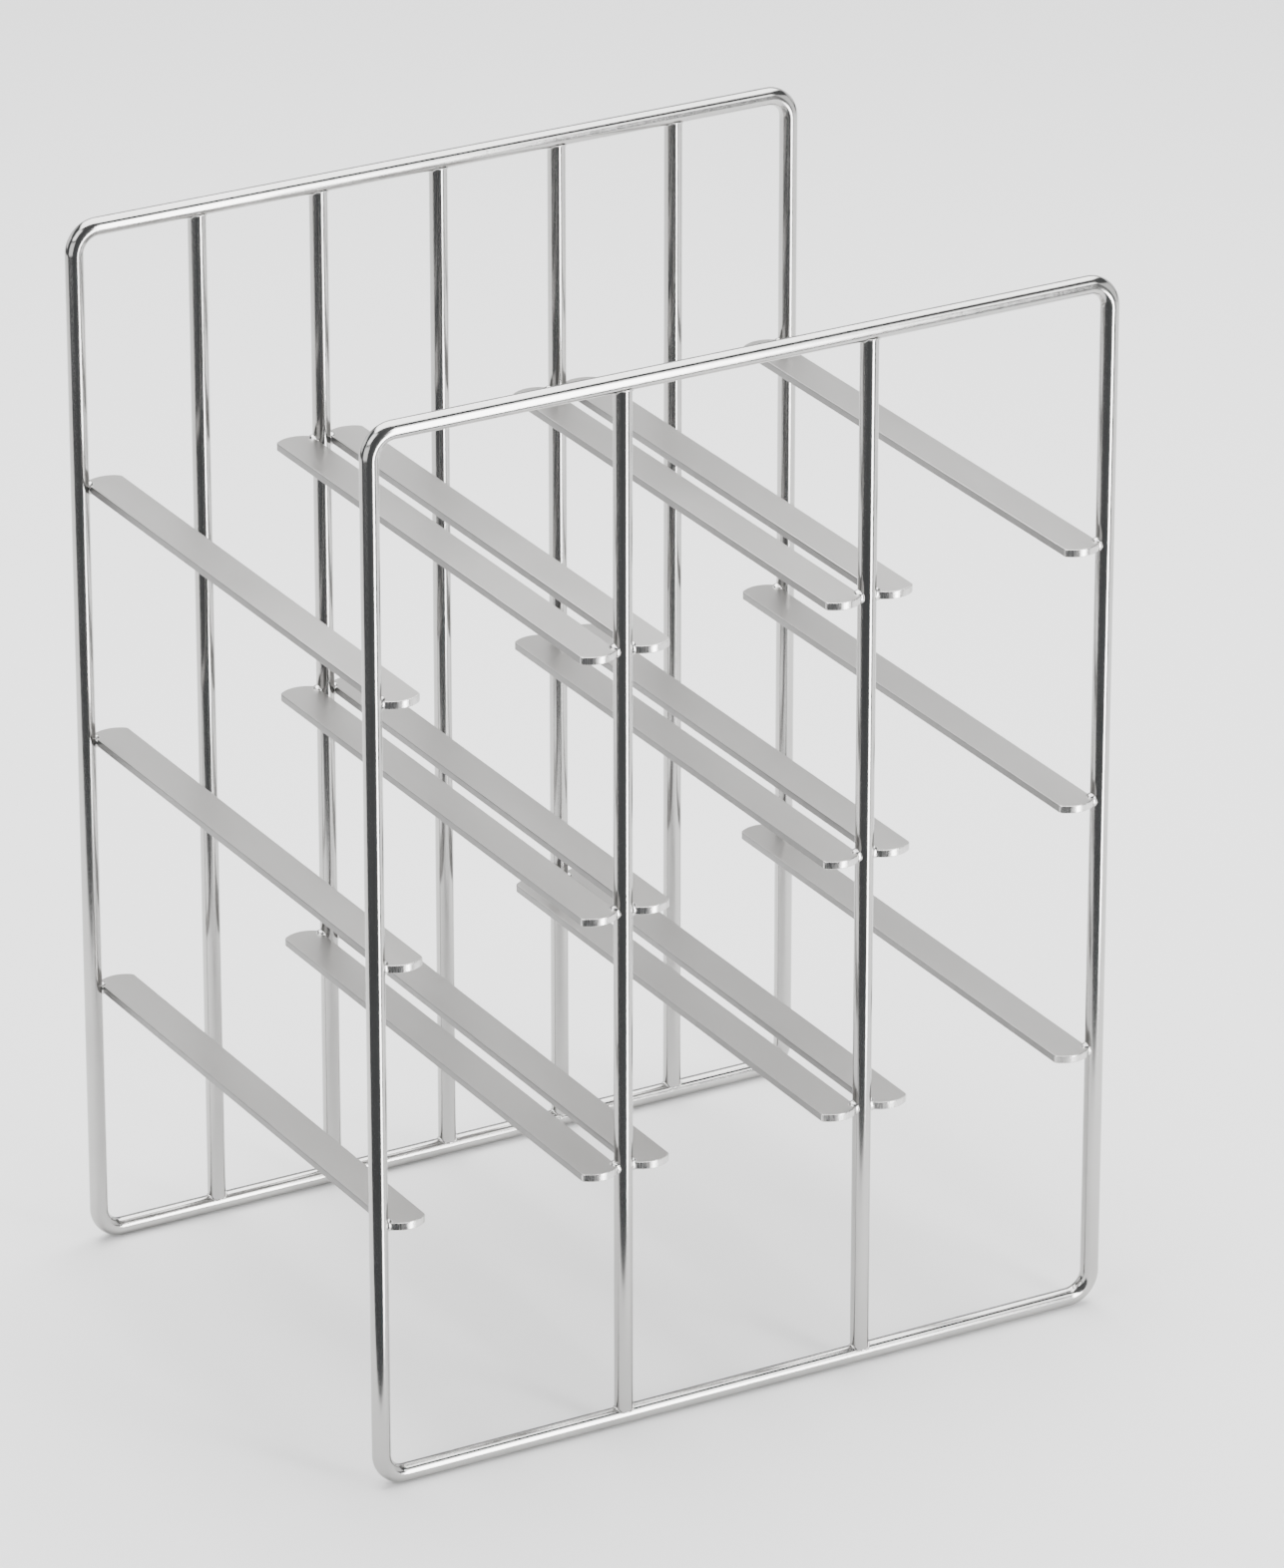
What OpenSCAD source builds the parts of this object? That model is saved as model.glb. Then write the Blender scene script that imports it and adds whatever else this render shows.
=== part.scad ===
// Nine-bottle wine rack: two welded round-rod frames joined by flat steel rails.
// X runs to the right, Y to the back and Z up. The origin is on the floor, in the middle of the footprint.
// Bottles lie along Y, their bases against the back frame's stops and their necks out past the front frame.

/* [Frames] */
// Outside width of each rod frame
frame_w = 310; // [250:5:380]
// Outside height of each rod frame
frame_h = 416; // [330:2:510]
// Distance between the centre planes of the front and back frames
frame_gap = 230; // [180:5:290]
// Diameter of all the round rod
rod_d = 7; // [5:0.5:9]
// Inside radius of the bent frame corners
corner_inner_r = 6; // [3:0.5:12]

/* [Bottle bays] */
// Number of bottle columns side by side
columns = 3; // [2:1:4]

/* [Rails] */
// Width of each flat rail
rail_w = 15; // [10:1:19]
// Thickness of each flat rail
rail_t = 3; // [2:0.5:5]
// How far a rail's side edges run past the rod centres at each end
rail_overhang = 2; // [1:0.5:6]
// How far a rail's round end bulges past its own side edges
rail_bulge = 3; // [1:0.5:5]

/* [Welds] */
// Depth that a rail's edge is sunk into a rod by its weld
rail_sink = 0.3; // [0.1:0.1:1]
// Depth that an upright's square end is sunk into a frame run by its weld
upright_sink = 1.2; // [0.4:0.2:2]
// Radius of the weld bead at each crossing of a rail and a rod
rail_bead_r = 3; // [2.2:0.1:3.4]
// Width of the weld fillet round each end of an upright
upright_bead = 0.8; // [0.3:0.1:1.5]

/* [Hidden] */
$fn = 64;

STEEL_ROD = "lightgray";
STEEL_RAIL = "silver";
STEEL_WELD = "gainsboro";

// Rows of rails, from the floor up
LEVELS = ["bottom", "middle", "top"];

rod_r = rod_d / 2;
// Spans between rod centres
span_x = frame_w - rod_d;
span_z = frame_h - rod_d;
bay_pitch = span_x / columns;
level_pitch = span_z / (len(LEVELS) + 1);
// Bend radius at the rod's centre
bend_r = corner_inner_r + rod_r;
// Centre planes of the two frames
front_y = -frame_gap / 2;
back_y = frame_gap / 2;
// Heights of the centres of the bottom and top runs
low_z = rod_r;
high_z = frame_h - rod_r;
// Radius of the arc across a rail's end
rail_end_r = (pow(rail_w / 2, 2) + pow(rail_bulge, 2)) / (2 * rail_bulge);
rail_len = frame_gap + 2 * (rail_overhang + rail_bulge);
rails_per_level = 2 * columns;
// Least reach of a rail's bead past the corner where the rod's groove meets the rail's face
BEAD_RIM = 0.12;
// Half the length of the groove that a rod leaves in a rail's edge
groove_half = sqrt(pow(rod_r, 2) - pow(rod_r - rail_sink, 2));
// The bead closes round that corner however thick the rail and however deep the groove
rail_bead_out = max(rail_bead_r, norm([rail_t / 2, groove_half]) + BEAD_RIM);
// Least height of an upright's bead where it passes the rod's side
BEAD_NECK = 0.19;
// Height over a run's centre at which the bead's outside meets the upright's side
bead_ring_h = sqrt(pow(rod_r + upright_bead, 2) - pow(rod_r, 2));
// The bead starts level with the upright's end, or lower where it has to close round the rod
bead_foot_h = min(rod_r - upright_sink, bead_ring_h - BEAD_NECK);

// Centre of the rod line that is the given number of bays from the left side; halves are bay centres
function rod_x(bays) = -span_x / 2 + bays * bay_pitch;

// Height of the middle of a rail, counted from the bottom level, 0
function rail_z(level) = low_z + (level + 1) * level_pitch;

// Odd rails stand right of their rod and even rails left of it
function rail_side(i) = i % 2 == 1 ? 1 : -1;
function rail_rod_x(i) = rod_x(floor(i / 2));
function rail_edge_x(i) = rail_rod_x(i) + rail_side(i) * (rod_r - rail_sink);
function rail_x(i) = rail_edge_x(i) + rail_side(i) * rail_w / 2;

// X of the two kinds of upright in a frame
function carrier_xs() = [for (i = [1 : columns - 1]) rod_x(i)];
function stop_xs() = [for (i = [1 : columns]) rod_x(i - 0.5)];

// A full-width level rod on a run's centre line
module run_rod(y, z, r = rod_r) {
    translate([0, y, z])
        rotate([0, 90, 0])
            cylinder(r = r, h = frame_w, center = true);
}

// An upright rod on its centre line, between two heights
module upright_rod(x, y, z_from, z_to, r = rod_r) {
    translate([x, y, z_from])
        cylinder(r = r, h = z_to - z_from);
}

// A quarter of a frame's loop: one bent corner with half of each run beside it
module quarter_loop() {
    half_x = span_x / 2 - bend_r;
    half_z = span_z / 2 - bend_r;
    translate([half_x, 0, half_z]) {
        rotate([90, 0, 0])
            rotate_extrude(angle = 90)
                translate([bend_r, 0])
                    circle(r = rod_r);
        translate([bend_r, 0, 0])
            rotate([180, 0, 0])
                cylinder(r = rod_r, h = half_z);
        translate([0, 0, bend_r])
            rotate([0, -90, 0])
                cylinder(r = rod_r, h = half_x);
    }
}

// Closed loop: one rod bent at four corners and welded into a ring
module rod_frame(y) {
    color(STEEL_ROD)
        translate([0, y, frame_h / 2])
            for (across = [0, 1])
                for (up = [0, 1])
                    mirror([across, 0, 0])
                        mirror([0, 0, up])
                            quarter_loop();
}

// Rod between the bottom and top runs, its square ends sunk into both
module frame_upright(x, y) {
    color(STEEL_ROD)
        difference() {
            upright_rod(x, y, low_z + rod_r - upright_sink, high_z - rod_r + upright_sink);
            run_rod(y, low_z);
            run_rod(y, high_z);
        }
}

// Flat bar with round ends; each frame's rod bites into its edge
module rail(level, i) {
    z = rail_z(level);
    color(STEEL_RAIL)
        difference() {
            translate([rail_x(i), 0, z])
                intersection() {
                    cube([rail_w, rail_len, rail_t], center = true);
                    union() {
                        cube([rail_w, rail_len - 2 * rail_end_r, rail_t], center = true);
                        for (end = [-1, 1])
                            translate([0, end * (rail_len / 2 - rail_end_r), 0])
                                cylinder(r = rail_end_r, h = rail_t, center = true);
                    }
                }
            for (y = [front_y, back_y])
                upright_rod(rail_rod_x(i), y, z - rail_t, z + rail_t);
        }
}

// Beads between one frame's rods and all the rails
module rail_welds(y) {
    color(STEEL_WELD)
        for (level = [0 : len(LEVELS) - 1])
            for (i = [1 : rails_per_level])
                translate([0, 0, rail_z(level)])
                    difference() {
                        translate([rail_edge_x(i), y, 0])
                            sphere(r = rail_bead_out);
                        upright_rod(rail_rod_x(i), y, -2 * rail_bead_out, 2 * rail_bead_out);
                        translate([rail_x(i), y, 0])
                            cube([rail_w, 4 * rail_bead_out, rail_t], center = true);
                    }
}

// Fillet where an upright stands on, or hangs from, a run; side is 1 on the bottom run and -1 on the top one
module upright_weld(x, y, run_z, side) {
    foot_z = run_z + side * bead_foot_h;
    tip_z = run_z + side * (rod_r + upright_bead);
    difference() {
        intersection() {
            upright_rod(x, y, min(foot_z, tip_z), max(foot_z, tip_z), rod_r + upright_bead);
            run_rod(y, run_z, rod_r + upright_bead);
        }
        upright_rod(x, y, min(foot_z, tip_z) - rod_r, max(foot_z, tip_z) + rod_r);
        run_rod(y, run_z);
    }
}

module upright_welds(xs, y) {
    color(STEEL_WELD)
        for (x = xs) {
            upright_weld(x, y, low_z, 1);
            upright_weld(x, y, high_z, -1);
        }
}

module front_frame() { rod_frame(front_y); }
module back_frame() { rod_frame(back_y); }
module front_rail_welds() { rail_welds(front_y); }
module back_rail_welds() { rail_welds(back_y); }
module front_upright_welds() { upright_welds(carrier_xs(), front_y); }
module back_upright_welds() { upright_welds(concat(carrier_xs(), stop_xs()), back_y); }

front_frame();
back_frame();
for (i = [1 : columns - 1]) {
    frame_upright(rod_x(i), front_y);
    frame_upright(rod_x(i), back_y);
}
for (i = [1 : columns])
    frame_upright(rod_x(i - 0.5), back_y);
for (level = [0 : len(LEVELS) - 1])
    for (i = [1 : rails_per_level])
        rail(level, i);
front_rail_welds();
back_rail_welds();
front_upright_welds();
back_upright_welds();
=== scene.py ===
import math
import bmesh
import bpy
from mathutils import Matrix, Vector, noise


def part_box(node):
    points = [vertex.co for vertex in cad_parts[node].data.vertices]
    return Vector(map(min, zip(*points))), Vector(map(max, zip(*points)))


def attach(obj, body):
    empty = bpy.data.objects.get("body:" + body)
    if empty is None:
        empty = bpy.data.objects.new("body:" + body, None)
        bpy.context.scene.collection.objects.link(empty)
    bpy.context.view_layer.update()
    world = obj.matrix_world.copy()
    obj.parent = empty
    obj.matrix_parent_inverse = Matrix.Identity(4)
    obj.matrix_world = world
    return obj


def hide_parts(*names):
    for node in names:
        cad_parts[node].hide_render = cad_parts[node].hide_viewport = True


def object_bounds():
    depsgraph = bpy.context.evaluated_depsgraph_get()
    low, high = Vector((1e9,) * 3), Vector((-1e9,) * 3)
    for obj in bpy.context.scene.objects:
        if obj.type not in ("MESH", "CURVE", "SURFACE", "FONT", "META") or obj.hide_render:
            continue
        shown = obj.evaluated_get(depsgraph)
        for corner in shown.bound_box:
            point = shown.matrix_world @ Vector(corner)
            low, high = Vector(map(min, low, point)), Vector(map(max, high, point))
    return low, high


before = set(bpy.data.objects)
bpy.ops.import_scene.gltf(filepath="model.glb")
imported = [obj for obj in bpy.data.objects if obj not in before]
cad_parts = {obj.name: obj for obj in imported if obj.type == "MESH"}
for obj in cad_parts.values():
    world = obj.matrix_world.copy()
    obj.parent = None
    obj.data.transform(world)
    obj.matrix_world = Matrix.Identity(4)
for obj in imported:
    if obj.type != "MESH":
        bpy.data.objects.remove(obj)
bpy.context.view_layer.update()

# Looks of the nine-bottle wine rack. X runs to the right, Y to the back and Z up, all in metres.
MM = 0.001

low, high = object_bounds()
centre = (low + high) / 2


# ---- Camera ----

# Fitted to the photograph: the viewer stands left of the rack's front and looks down on it
CAMERA_AZIMUTH = math.radians(-29.503)
CAMERA_ELEVATION = math.radians(23.98)
CAMERA_DISTANCE = 3.4986
# How far the camera is moved across its view, to the right and up
CAMERA_RIGHT = 0.0195
CAMERA_UP = -0.0052
# Lens and sensor in millimetres
CAMERA_LENS = 215.79
CAMERA_SENSOR = 36.0
# How far the camera sees
CAMERA_CLIP_END = 50

view_right = Vector((math.cos(CAMERA_AZIMUTH), math.sin(CAMERA_AZIMUTH), 0))


def direction(azimuth, elevation):
    """Unit vector from the object towards a viewer at this azimuth and elevation."""
    level = math.cos(elevation)
    return Vector((math.sin(azimuth) * level, -math.cos(azimuth) * level, math.sin(elevation)))


def put_facing(thing, spot, back):
    """Puts a camera or a lamp at this spot, looking the opposite way to back."""
    thing.location = spot
    thing.rotation_euler = (-back).to_track_quat("-Z", "Y").to_euler()
    bpy.context.scene.collection.objects.link(thing)


def make_camera():
    back = direction(CAMERA_AZIMUTH, CAMERA_ELEVATION)
    up = back.cross(view_right)
    data = bpy.data.cameras.new("camera")
    data.lens = CAMERA_LENS
    data.sensor_width = CAMERA_SENSOR
    data.sensor_fit = "AUTO"
    data.clip_end = CAMERA_CLIP_END
    camera = bpy.data.objects.new("camera", data)
    spot = centre + back * CAMERA_DISTANCE + view_right * CAMERA_RIGHT + up * CAMERA_UP
    put_facing(camera, spot, back)
    bpy.context.scene.camera = camera


# ---- Materials ----

# Noise gathers about 0.5, so this stretch of it takes the whole change from one look to the other
NOISE_LOW = 0.3
NOISE_HIGH = 0.7
NOISE_ROUGHNESS = 0.55
GRAIN_DETAIL = 3.0
WEAR_DETAIL = 5.0
GRAIN_STRENGTH = 0.6
WEAR_STRENGTH = 0.5


class Nodes:
    """Short calls for building one material's node tree."""

    def __init__(self, name):
        self.material = bpy.data.materials.new(name)
        self.material.use_nodes = True
        self.tree = self.material.node_tree
        self.shader = self.tree.nodes["Principled BSDF"]
        self.place = self.tree.nodes.new("ShaderNodeTexCoord").outputs["Object"]

    def add(self, kind, **values):
        node = self.tree.nodes.new(kind)
        for key, value in values.items():
            setattr(node, key, value)
        return node

    def link(self, output, socket):
        self.tree.links.new(output, socket)

    def stretched(self, scale):
        """Object coordinates times a scale for each axis."""
        node = self.add("ShaderNodeVectorMath", operation="MULTIPLY")
        self.link(self.place, node.inputs[0])
        node.inputs[1].default_value = scale
        return node.outputs[0]

    def noise(self, scale, detail):
        node = self.add("ShaderNodeTexNoise")
        node.inputs["Scale"].default_value = 1.0
        node.inputs["Detail"].default_value = detail
        node.inputs["Roughness"].default_value = NOISE_ROUGHNESS
        self.link(self.stretched(scale), node.inputs["Vector"])
        return node.outputs["Fac"]

    def ranged(self, value, to_low, to_high):
        """The useful stretch of a noise value, turned into another range."""
        node = self.add("ShaderNodeMapRange")
        self.link(value, node.inputs["Value"])
        node.inputs["From Min"].default_value = NOISE_LOW
        node.inputs["From Max"].default_value = NOISE_HIGH
        node.inputs["To Min"].default_value = to_low
        node.inputs["To Max"].default_value = to_high
        return node.outputs["Result"]

    def total(self, first, second):
        node = self.add("ShaderNodeMath", operation="ADD")
        self.link(first, node.inputs[0])
        self.link(second, node.inputs[1])
        return node.outputs[0]

    def ramp(self, value, dark, light):
        node = self.add("ShaderNodeValToRGB")
        stops = ((NOISE_LOW, dark), (NOISE_HIGH, light))
        for element, (position, colour) in zip(node.color_ramp.elements, stops):
            element.position = position
            element.color = (*colour, 1)
        self.link(value, node.inputs["Fac"])
        return node.outputs["Color"]

    def bump(self, height, distance, strength, under=None):
        node = self.add("ShaderNodeBump")
        node.inputs["Strength"].default_value = strength
        node.inputs["Distance"].default_value = distance
        self.link(height, node.inputs["Height"])
        if under is not None:
            self.link(under, node.inputs["Normal"])
        return node.outputs["Normal"]


def steel(name, dark, light, rough, spread, grain, wear, grain_depth, wear_depth):
    """Steel with a fine grain, broad wear under it, and roughness that follows both.

    Grain and wear are counts per metre along each axis, and their depths are in metres.
    """
    n = Nodes(name)
    fine = n.noise(grain, GRAIN_DETAIL)
    broad = n.noise(wear, WEAR_DETAIL)
    n.link(n.ramp(broad, dark, light), n.shader.inputs["Base Color"])
    shine = n.total(n.ranged(fine, rough - spread, rough + spread),
                    n.ranged(broad, -spread / 2, spread / 2))
    n.link(shine, n.shader.inputs["Roughness"])
    worn = n.bump(broad, wear_depth, WEAR_STRENGTH)
    n.link(n.bump(fine, grain_depth, GRAIN_STRENGTH, worn), n.shader.inputs["Normal"])
    n.shader.inputs["Metallic"].default_value = 1.0
    return n.material


ROD_DARK = (0.40, 0.396, 0.388)
ROD_LIGHT = (0.45, 0.445, 0.437)

# Drawn rod, its grain along the upright
upright_steel = steel(
    "upright_rod_steel", dark=ROD_DARK, light=ROD_LIGHT, rough=0.16, spread=0.02,
    grain=(2400, 2400, 60), wear=(45, 45, 14), grain_depth=5e-7, wear_depth=8e-7)
# The same rod bent into a loop, so its grain is as long in X as in Z
loop_steel = steel(
    "loop_rod_steel", dark=ROD_DARK, light=ROD_LIGHT, rough=0.16, spread=0.02,
    grain=(420, 2400, 420), wear=(30, 45, 30), grain_depth=5e-7, wear_depth=8e-7)
# Faces of the flat bar
rail_steel = steel(
    "rail_satin_steel", dark=(0.36, 0.353, 0.344), light=(0.39, 0.383, 0.374), rough=0.33, spread=0.02,
    grain=(1500, 260, 1500), wear=(30, 12, 30), grain_depth=5e-7, wear_depth=2e-6)
# Long narrow sides of the flat bar: rougher rolled steel, its base colour about half the faces' as
# painted shade
side_steel_painted_shade = steel(
    "rolled_side_steel_painted_shade", dark=(0.19, 0.187, 0.184), light=(0.23, 0.227, 0.223), rough=0.36, spread=0.04,
    grain=(1800, 300, 1800), wear=(60, 20, 60), grain_depth=1e-6, wear_depth=3e-6)
# Cut ends of the flat bar: sheared steel with striations, its base colour brighter than the faces' as
# painted light
end_steel_painted_light = steel(
    "sheared_end_steel_painted_light", dark=(0.58, 0.573, 0.563), light=(0.66, 0.653, 0.643), rough=0.27, spread=0.07,
    grain=(2600, 2600, 160), wear=(900, 900, 120), grain_depth=3e-6, wear_depth=2.2e-5)
bead_steel = steel(
    "weld_bead_steel", dark=(0.60, 0.593, 0.583), light=(0.70, 0.693, 0.683), rough=0.22, spread=0.05,
    grain=(1800, 1800, 1800), wear=(420, 420, 420), grain_depth=4e-6, wear_depth=4e-5)


# ---- Measures taken from the CAD nodes ----

def middle(name):
    """X, Y and Z of the middle of a CAD node's box."""
    return [(least + most) / 2 for least, most in zip(*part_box(name))]


loop_low, loop_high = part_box("front_frame")
rod_r = (loop_high.y - loop_low.y) / 2
half_x = (loop_high.x - loop_low.x) / 2 - rod_r
# Heights of the middles of the bottom and top runs
run_low = loop_low.z + rod_r
run_high = loop_high.z - rod_r
frame_ys = {"front": middle("front_frame")[1], "back": middle("back_frame")[1]}

rails = [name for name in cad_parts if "_rail_" in name and "welds" not in name]
uprights = [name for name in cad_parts
            if ("_upright_" in name or name.startswith("bottle_stop_")) and "welds" not in name]
# X of every rod line that carries rails
carrier_xs = sorted([-half_x, half_x] + [middle(name)[0] for name in uprights
                                         if name.startswith("front_upright_")])
# Radius of the rail beads, from their highest point down to the top rails' middle
bead_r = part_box("front_rail_welds")[1].z - max(middle(name)[2] for name in rails)


def rod_of(rail_name):
    """X of the rod that this rail is welded to, and X of the rail's edge there."""
    lo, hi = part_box(rail_name)
    pairs = [(abs(edge - rod), rod, edge) for rod in carrier_xs for edge in (lo.x, hi.x)]
    return min(pairs)[1:]


# ---- Making pieces ----

def new_piece(name, mesh_data, materials, slot_name, *nodes):
    """A finished piece that stands for these CAD nodes. The slot_name argument is not used."""
    for material in materials:
        mesh_data.materials.append(material)
    piece = bpy.data.objects.new(name, mesh_data)
    bpy.context.scene.collection.objects.link(piece)
    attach(piece, "root")
    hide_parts(*nodes)


def finish_mesh(name, bm):
    bmesh.ops.recalc_face_normals(bm, faces=bm.faces)
    for face in bm.faces:
        face.smooth = True
    data = bpy.data.meshes.new(name)
    bm.to_mesh(data)
    bm.free()
    return data


def circle_angles(count):
    return [2 * math.pi * i / count for i in range(count)]


def band(bm, here, there):
    """Faces between two rings that have equally many vertices."""
    count = len(here)
    for i in range(count):
        k = (i + 1) % count
        bm.faces.new((here[i], here[k], there[k], there[i]))


def skin(bm, rings, closed_path):
    """Joins equal rings of points into a tube; returns the rings' vertices."""
    made = [[bm.verts.new(point) for point in ring] for ring in rings]
    for here, there in zip(made, made[1:]):
        band(bm, here, there)
    if closed_path:
        band(bm, made[-1], made[0])
    return made


# ---- Rods ----

# The CAD loop's bends: 6 mm inside radius and half of the 7 mm rod
BEND_R = 9.5 * MM
BEND_STEPS = 20
AROUND = 64
WALL_STEPS = 12
# Rings of an upright's end face, as shares of the rod's radius
END_RINGS = (0.985, 0.93, 0.8, 0.6, 0.35, 0.12)


def loop_path():
    """Points and outward directions along the frame's rounded rectangle, in X and Z."""
    path = []
    for turn, (sx, sz) in enumerate(((1, 1), (-1, 1), (-1, -1), (1, -1))):
        corner_x = sx * (half_x - BEND_R)
        corner_z = (run_high if sz > 0 else run_low) - sz * BEND_R
        for step in range(BEND_STEPS + 1):
            angle = math.pi / 2 * (turn + step / BEND_STEPS)
            out = Vector((math.cos(angle), 0, math.sin(angle)))
            path.append((Vector((corner_x, 0, corner_z)) + out * BEND_R, out))
    return path


def frame_mesh(name, y):
    """One rod bent into a closed loop."""
    bm = bmesh.new()
    rings = []
    for point, out in loop_path():
        ring = []
        for angle in circle_angles(AROUND):
            across = Vector((0, y + rod_r * math.cos(angle), 0))
            ring.append(point + across + out * rod_r * math.sin(angle))
        rings.append(ring)
    skin(bm, rings, True)
    return finish_mesh(name, bm)


def seat_height(y_off, square_z, run_z, way):
    """Height of an upright's end over one spot: its square end, or the surface of the run if nearer."""
    on_run = run_z + way * math.sqrt(max(rod_r ** 2 - y_off ** 2, 0))
    return max(square_z, on_run) if way > 0 else min(square_z, on_run)


def upright_mesh(name, x, y, square_low, square_high):
    """A straight rod whose two ends are square and bedded on the runs."""
    bm = bmesh.new()

    def end_ring(share, square_z, run_z, way):
        ring = []
        for angle in circle_angles(AROUND):
            dx = rod_r * share * math.cos(angle)
            dy = rod_r * share * math.sin(angle)
            ring.append(Vector((x + dx, y + dy, seat_height(dy, square_z, run_z, way))))
        return ring

    bottom = end_ring(1, square_low, run_low, 1)
    top = end_ring(1, square_high, run_high, -1)
    wall = []
    for step in range(WALL_STEPS + 1):
        share = step / WALL_STEPS
        wall.append([a.lerp(b, share) for a, b in zip(bottom, top)])
    made = skin(bm, wall, False)
    ends = ((made[0], square_low, run_low, 1), (made[-1], square_high, run_high, -1))
    for outer, square_z, run_z, way in ends:
        for i in range(AROUND):
            bm.edges.get((outer[i], outer[(i + 1) % AROUND])).smooth = False
        for share in END_RINGS:
            inner = [bm.verts.new(point) for point in end_ring(share, square_z, run_z, way)]
            band(bm, outer, inner)
            outer = inner
        hub = bm.verts.new((x, y, seat_height(0, square_z, run_z, way)))
        for i in range(AROUND):
            bm.faces.new((outer[i], outer[(i + 1) % AROUND], hub))
    return finish_mesh(name, bm)


# ---- Rails ----

# How far the CAD rail's round ends bulge past its side edges
RAIL_BULGE = 3 * MM
# Corner radii in plan, away from the rod and beside it
OUTER_CORNER_R = 2.0 * MM
INNER_CORNER_R = 1.0 * MM
CORNER_STEPS = 6
HALF_ARC_STEPS = 14
NOTCH_STEPS = 8
# Rounding of the edges all round the faces, and the flat ring beside it that keeps its shading narrow
EDGE_R = 0.35 * MM
EDGE_STEPS = 4
SUPPORT = 0.08 * MM
# The sheared steel, brightened as painted light, covers this length at each end
END_REACH = 3.7 * MM
# Faces count as end or side, not top or underside, while their normal's Z is below these
END_TILT = 0.95
SIDE_TILT = 0.6
# A rail's materials, and which of them its ends and sides have
RAIL_STEELS = (rail_steel, end_steel_painted_light, side_steel_painted_shade)
END_INDEX = 1
SIDE_INDEX = 2


def end_quarter(inset, half_w, half_len, arc_r, corner_r):
    """Outline from a rail's straight side, round its corner and along the arc to the end's middle."""
    arc_v = half_len - arc_r
    corner_u = half_w - corner_r
    corner_v = arc_v + math.sqrt((arc_r - corner_r) ** 2 - corner_u ** 2)
    meet = math.atan2(corner_v - arc_v, corner_u)
    points = []
    for step in range(CORNER_STEPS + 1):
        angle = meet * step / CORNER_STEPS
        out = Vector((math.cos(angle), math.sin(angle)))
        points.append(Vector((corner_u, corner_v)) + out * (corner_r - inset))
    for step in range(1, HALF_ARC_STEPS + 1):
        angle = meet + (math.pi / 2 - meet) * step / HALF_ARC_STEPS
        out = Vector((math.cos(angle), math.sin(angle)))
        points.append(Vector((0, arc_v)) + out * (arc_r - inset))
    return points


def notch_points(inset, half_w, v_mid, depth):
    """The groove that a rod leaves in the rail's edge, from +V to -V."""
    rod_u = -half_w - (rod_r - depth)
    reach = rod_r + inset
    start = math.acos((reach - depth) / reach)
    points = []
    for step in range(NOTCH_STEPS + 1):
        angle = start - 2 * start * step / NOTCH_STEPS
        points.append(Vector((rod_u + reach * math.cos(angle), v_mid + reach * math.sin(angle))))
    return points


def rail_outline(inset, half_w, half_len, notches):
    """Plan outline about the rail's middle, U across and V along; the rods' side is at -U."""
    arc_r = (half_w ** 2 + RAIL_BULGE ** 2) / (2 * RAIL_BULGE)
    outer = end_quarter(inset, half_w, half_len, arc_r, OUTER_CORNER_R)
    inner = end_quarter(inset, half_w, half_len, arc_r, INNER_CORNER_R)
    upper = outer + [Vector((-p.x, p.y)) for p in reversed(inner[:-1])]
    rod_side = []
    for v_mid, depth in sorted(notches, reverse=True):
        rod_side += notch_points(inset, half_w, v_mid, depth)
    lower = [Vector((p.x, -p.y)) for p in reversed(upper)]
    return upper + rod_side + lower


def edge_levels(half_t):
    """Inset and height of each ring up a rail's edge: rounded below, straight, rounded above."""
    levels = []
    for step in range(EDGE_STEPS + 1):
        angle = math.pi / 2 * step / EDGE_STEPS
        levels.append((EDGE_R * (1 - math.sin(angle)), -half_t + EDGE_R * (1 - math.cos(angle))))
    levels.append((0, -half_t + EDGE_R + SUPPORT))
    return levels + [(inset, -height) for inset, height in reversed(levels)]


def rail_mesh(name, lo, hi, rod_x):
    """A flat bar with round ends, rounded edges and a groove at each rod."""
    half_w = (hi.x - lo.x) / 2
    half_len = (hi.y - lo.y) / 2
    half_t = (hi.z - lo.z) / 2
    mid = (lo + hi) / 2
    way = 1 if mid.x > rod_x else -1
    depth = rod_r - (abs(mid.x - rod_x) - half_w)
    notches = [(y - mid.y, depth) for y in frame_ys.values()]

    def ring(inset, height):
        return [Vector((mid.x + way * p.x, mid.y + p.y, mid.z + height))
                for p in rail_outline(inset, half_w, half_len, notches)]

    bm = bmesh.new()
    made = skin(bm, [ring(inset, height) for inset, height in edge_levels(half_t)], False)
    for edge_ring, height in ((made[0], -half_t), (made[-1], half_t)):
        inner = [bm.verts.new(point) for point in ring(EDGE_R + SUPPORT, height)]
        band(bm, edge_ring, inner)
        bm.faces.new(inner)
    bm.normal_update()
    for face in bm.faces:
        spot = face.calc_center_median()
        if abs(spot.y - mid.y) > half_len - END_REACH:
            # End faces take the brighter steel: painted light
            if abs(face.normal.z) < END_TILT:
                face.material_index = END_INDEX
        # Side faces take the darker steel: painted shade
        elif abs(face.normal.z) < SIDE_TILT:
            face.material_index = SIDE_INDEX
    return finish_mesh(name, bm)


# ---- Weld beads ----

# How much the noise draws a rail's bead in, and how many lumps it makes
BEAD_LUMPS = 0.13
LUMP_FINENESS = 1.3
BEAD_RIPPLE = 0.05
RIPPLE_FINENESS = 3.4
RIPPLE_SQUEEZE = 2.2
BEAD_SUBDIVISIONS = 4
# The lip round an upright's end, thick along the run and thin across it
LIP_R = 0.5 * MM
LIP_THIN = 0.22 * MM
LIP_FALLOFF = 1.5
LIP_LUMPS = 0.14
LIP_FINENESS = 4.5
# The lip's middle, as a share of the rod's radius out and of the lip's own radius off the run
LIP_OUT = 1.02
LIP_LIFT = 0.25
LIP_AROUND = 12
LIP_ALONG = 84
# Each bead has a seed, which moves it to its own part of the noise
SEED_STEP = (7.3, 3.1, 5.7)
RIPPLE_SEED = 40
BACK_SEED = 50
TOP_SEED = 20


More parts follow.
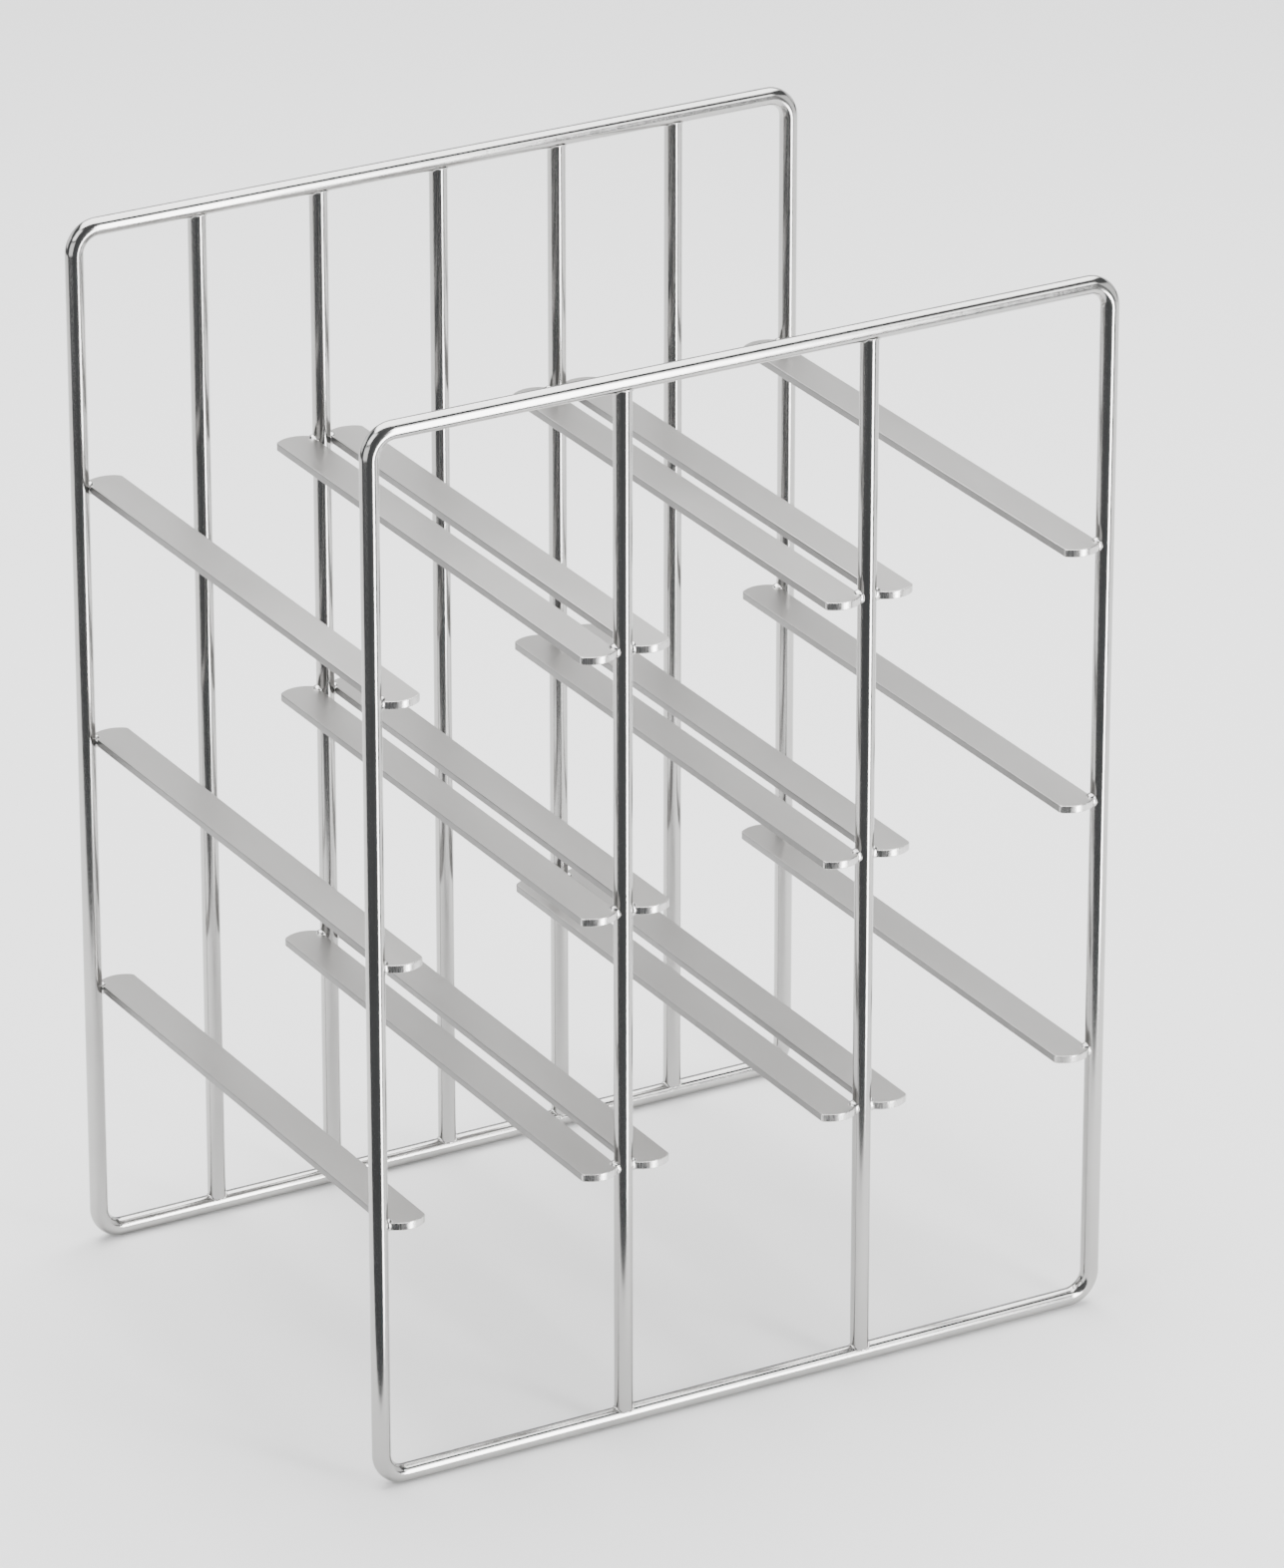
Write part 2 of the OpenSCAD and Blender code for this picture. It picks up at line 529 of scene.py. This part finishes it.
def lumpy(point, fineness, seed):
    """Smooth noise from 0 to 1 at this place."""
    shift = Vector([seed * step for step in SEED_STEP])
    return 0.5 + 0.5 * noise.noise(point * fineness + shift)


def rail_bead(bm, place, seed):
    """One lump of weld on a rail's edge, drawn in where it cooled unevenly."""
    for vert in bmesh.ops.create_icosphere(bm, subdivisions=BEAD_SUBDIVISIONS, radius=1.0)["verts"]:
        way = vert.co.copy()
        squeezed = Vector((way.x, way.y, way.z * RIPPLE_SQUEEZE))
        coarse = lumpy(way, LUMP_FINENESS, seed)
        ripple = lumpy(squeezed, RIPPLE_FINENESS, seed + RIPPLE_SEED)
        size = bead_r * (1 - BEAD_LUMPS * coarse - BEAD_RIPPLE * ripple)
        vert.co = place + way * size


def upright_lip(bm, x, y, square_z, run_z, way, seed):
    """The thin rolled bead where an upright's end is bedded on a run."""
    rings = []
    for angle in circle_angles(LIP_ALONG):
        out = Vector((math.cos(angle), math.sin(angle), 0))
        height = seat_height(rod_r * math.sin(angle), square_z, run_z, way)
        full = abs(math.cos(angle)) ** LIP_FALLOFF
        size = LIP_THIN + (LIP_R - LIP_THIN) * full
        size *= 1 - LIP_LUMPS + LIP_LUMPS * lumpy(out, LIP_FINENESS, seed)
        core = Vector((x, y, height)) + out * rod_r * LIP_OUT + Vector((0, 0, way * size * LIP_LIFT))
        ring = []
        for roll in circle_angles(LIP_AROUND):
            ring.append(core + out * size * math.cos(roll) + Vector((0, 0, size * math.sin(roll))))
        rings.append(ring)
    skin(bm, rings, True)


def rail_welds_mesh(name, y, first_seed):
    """The beads of all the rails at one frame."""
    bm = bmesh.new()
    for seed, rail_name in enumerate(sorted(rails)):
        place = Vector((rod_of(rail_name)[1], y, middle(rail_name)[2]))
        rail_bead(bm, place, seed + first_seed)
    return finish_mesh(name, bm)


def upright_welds_mesh(name, frame_y):
    """The lips at both ends of one frame's uprights."""
    bm = bmesh.new()
    for seed, upright_name in enumerate(sorted(uprights)):
        x, y = middle(upright_name)[:2]
        lo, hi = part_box(upright_name)
        if abs(y - frame_y) < rod_r:
            upright_lip(bm, x, frame_y, lo.z, run_low, 1, seed)
            upright_lip(bm, x, frame_y, hi.z, run_high, -1, seed + TOP_SEED)
    return finish_mesh(name, bm)


# ---- The pieces ----

for side_name, y in frame_ys.items():
    node = side_name + "_frame"
    new_piece(node + "_rod", frame_mesh(node, y), [loop_steel], "rod_steel", node)

for name in uprights:
    lo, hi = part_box(name)
    x, y = middle(name)[:2]
    new_piece(name + "_rod", upright_mesh(name, x, y, lo.z, hi.z), [upright_steel], "rod_steel", name)

for name in rails:
    lo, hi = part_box(name)
    new_piece(name + "_bar", rail_mesh(name, lo, hi, rod_of(name)[0]), RAIL_STEELS, "rail_steel", name)

for side_name, y in frame_ys.items():
    node = side_name + "_rail_welds"
    mesh = rail_welds_mesh(node, y, BACK_SEED if y > 0 else 0)
    new_piece(side_name + "_rail_beads", mesh, [bead_steel], "weld_steel", node)
    node = side_name + "_upright_welds"
    mesh = upright_welds_mesh(node, y)
    new_piece(side_name + "_upright_beads", mesh, [bead_steel], "weld_steel", node)


# ---- Stage and light ----

# A pale table, square to the camera, with a dim studio beyond its edges. Its near edge is close, so that
# the rods mirror the dark past it as a stripe.
TABLE_NEAR = 0.245
TABLE_FAR = 4.0
TABLE_SIDE = 1.6
TABLE_COLOUR = (0.9, 0.9, 0.9)
TABLE_ROUGHNESS = 0.8
STUDIO_COLOUR = (0.94, 0.97, 1)
STUDIO_STRENGTH = 0.15


def flat_material(name, colour, roughness):
    material = bpy.data.materials.new(name)
    material.use_nodes = True
    shader = material.node_tree.nodes["Principled BSDF"]
    shader.inputs["Base Color"].default_value = (*colour, 1)
    shader.inputs["Roughness"].default_value = roughness
    return material


def make_table():
    near = direction(CAMERA_AZIMUTH, 0)
    foot = Vector((centre.x, centre.y, low.z))
    corners = [foot + near * along + view_right * across for along, across in
               ((TABLE_NEAR, -TABLE_SIDE), (TABLE_NEAR, TABLE_SIDE),
                (-TABLE_FAR, TABLE_SIDE), (-TABLE_FAR, -TABLE_SIDE))]
    mesh = bpy.data.meshes.new("floor")
    mesh.from_pydata(corners, [], [tuple(range(len(corners)))])
    mesh.materials.append(flat_material("floor_white", TABLE_COLOUR, TABLE_ROUGHNESS))
    thing = bpy.data.objects.new("floor", mesh)
    bpy.context.scene.collection.objects.link(thing)


def softbox(name, azimuth, elevation, distance, width, height, radiance):
    """A soft area light of this brightness, facing the middle of the object."""
    data = bpy.data.lights.new(name, "AREA")
    data.shape = "RECTANGLE"
    data.size = width
    data.size_y = height
    data.energy = radiance * math.pi * width * height
    back = direction(math.radians(azimuth), math.radians(elevation))
    lamp = bpy.data.objects.new(name, data)
    put_facing(lamp, centre + back * distance, back)


# Name, azimuth and elevation in degrees, distance, width, height, radiance. The steel mirrors them:
# back_box in the rails' tops, strip down the rods, front_high in the level runs, the low ones in bends.
LIGHTS = [
    ("overhead", 150, 72, 1.7, 2.2, 2.2, 7.5),
    ("back_box", 150.5, 33, 2.8, 2.6, 1.5, 1.3),
    ("left_box", -78, 44, 1.9, 1.1, 1.0, 4.0),
    ("strip", 21, -2, 1.7, 0.42, 2.0, 22.0),
    ("front_high", 33, 32, 1.9, 0.6, 0.45, 6.0),
    ("low_front_left", -72, 7, 1.9, 1.5, 1.1, 2.0),
    ("low_front_right", 66, 8, 1.9, 1.4, 1.1, 1.5),
    ("low_right", 115, 10, 2.8, 2.2, 1.0, 1.5),
    ("low_left", -150, 14, 2.8, 2.4, 1.4, 1.8),
]


def make_studio():
    """The dim surroundings beyond the table and the lights."""
    world = bpy.data.worlds.new("world")
    world.use_nodes = True
    background = world.node_tree.nodes["Background"]
    background.inputs["Color"].default_value = (*STUDIO_COLOUR, 1)
    background.inputs["Strength"].default_value = STUDIO_STRENGTH
    bpy.context.scene.world = world


make_table()
for light in LIGHTS:
    softbox(*light)
make_studio()
make_camera()

bpy.context.view_layer.update()
